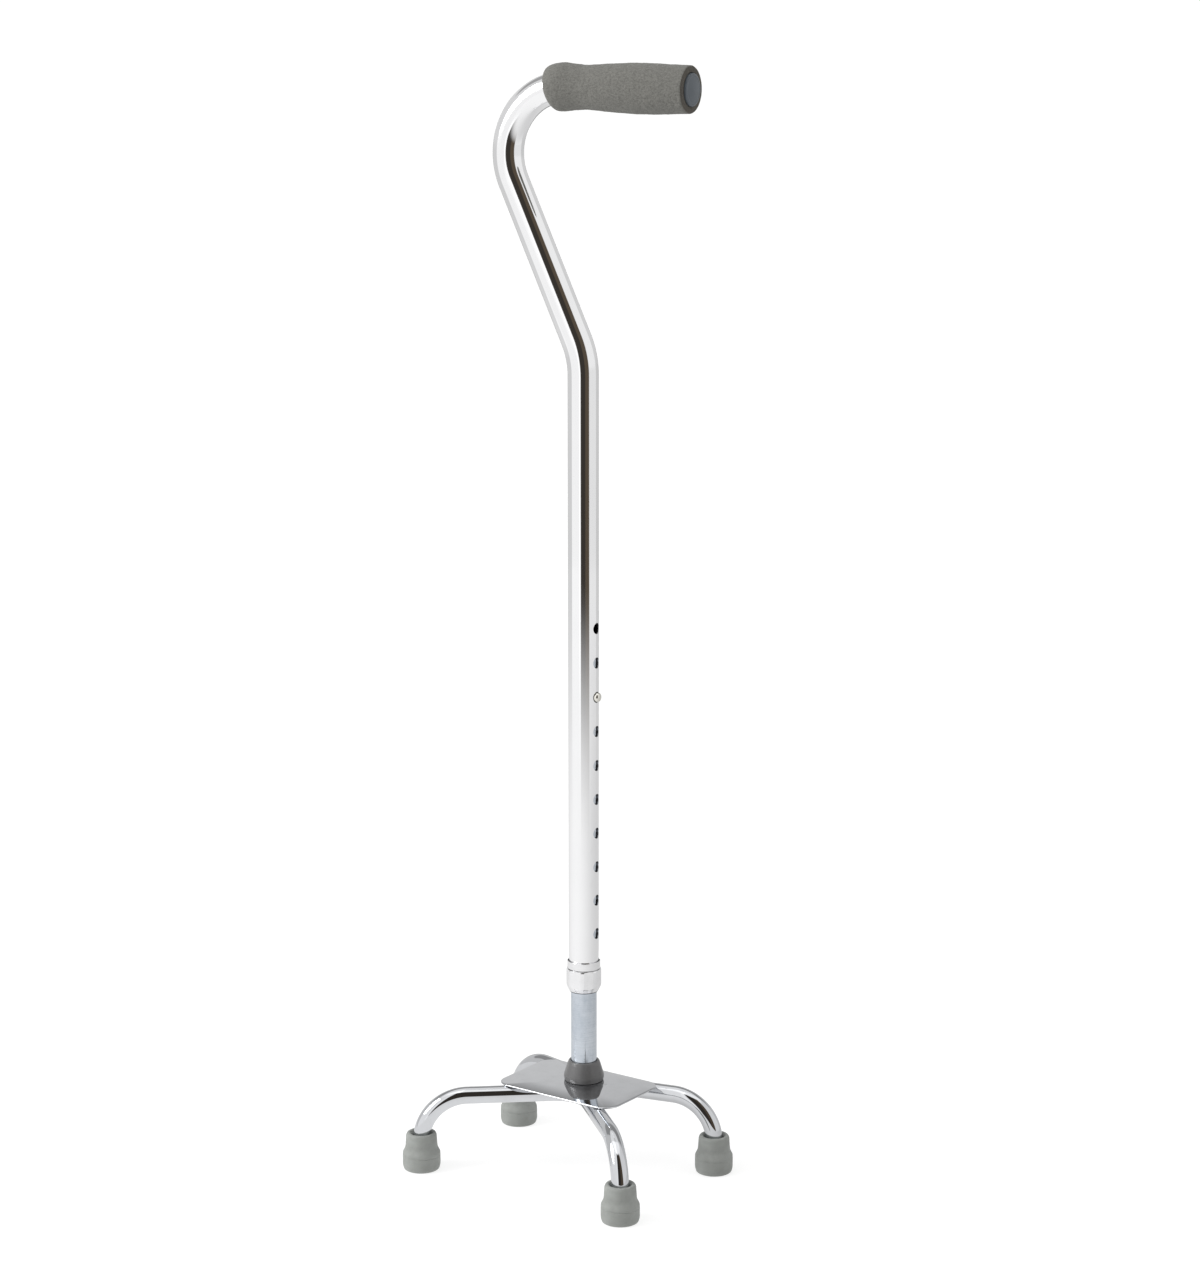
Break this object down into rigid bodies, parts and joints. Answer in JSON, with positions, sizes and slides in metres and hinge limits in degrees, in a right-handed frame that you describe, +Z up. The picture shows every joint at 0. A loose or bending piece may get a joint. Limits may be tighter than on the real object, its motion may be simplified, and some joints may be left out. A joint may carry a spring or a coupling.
{
  "type": "quad walking cane",
  "caption": "Height-adjustable walking cane: offset handle with foam grip, telescoping post with snap button and lock nut, small splayed base with rubber tips.",
  "frame": {"origin": "on the floor, midway between the four rubber tips", "axes": "+Z up along the post, +X the way the open end of the grip points, +Y the straighter side of the base, where the user walks"},
  "size_m": [0.208, 0.1484, 0.809],
  "materials": {
    "polished_aluminium": "polished",
    "foam": "closed-cell foam, matte",
    "cap_plastic": "satin",
    "collar_metal": "satin",
    "nut_metal": "satin",
    "nylon": "plain",
    "zinc_steel": "bright zinc plate",
    "nickel": "nickel plate",
    "spring_steel": "plain",
    "boot_plastic": "moulded, matte",
    "chrome": "bright chrome",
    "tip_rubber": "matte"
  },
  "bodies": {
    "base": {"base_plate": "chrome", "outer_leg_tube": "chrome", "inner_leg_tube": "chrome", "base_boot": "boot_plastic", "post_spigot": "chrome", "spigot_pin": "spring_steel", "lower_tube": "zinc_steel", "button_spring": "spring_steel", "tip_outer_open_end": "tip_rubber", "tip_outer_bend_end": "tip_rubber", "tip_inner_open_end": "tip_rubber", "tip_inner_bend_end": "tip_rubber", "tip_washer_outer_open_end": "spring_steel", "tip_washer_outer_bend_end": "spring_steel", "tip_washer_inner_open_end": "spring_steel", "tip_washer_inner_bend_end": "spring_steel"},
    "handle": {"handle_tube": "polished_aluminium", "foam_grip": "foam", "handle_end_cap": "cap_plastic", "threaded_collar": "collar_metal"},
    "button": {"snap_button": "nickel"},
    "ring": {"compression_ring": "nylon"},
    "nut": {"lock_nut": "nut_metal"}
  },
  "joints": [
    {"name": "height_adjust", "type": "slide", "parent": "base", "child": "handle", "axis": [0, 0, 1], "range_m": [-0.0508, 0.1778], "deforming": ["snap_button"]},
    {"name": "button_press", "type": "slide", "parent": "base", "child": "button", "axis": [-0.9925, -0.1219, 0], "range_m": [0, 0.004], "stiffness_N_per_m": 1500, "springref_m": -0.002, "deforming": ["button_spring"]},
    {"name": "ring_release", "type": "slide", "parent": "handle", "child": "ring", "axis": [0, 0, -1], "range_m": [0, 0.0015]},
    {"name": "nut_turn", "type": "hinge", "parent": "ring", "child": "nut", "pos_m": [0, 0.0209, 0.142], "axis": [0, 0, -1], "range_deg": [0, 360]}
  ],
  "couplings": [
    {"joint": "ring_release", "follows": "nut_turn", "m_per_rad": 0.00023873}
  ]
}
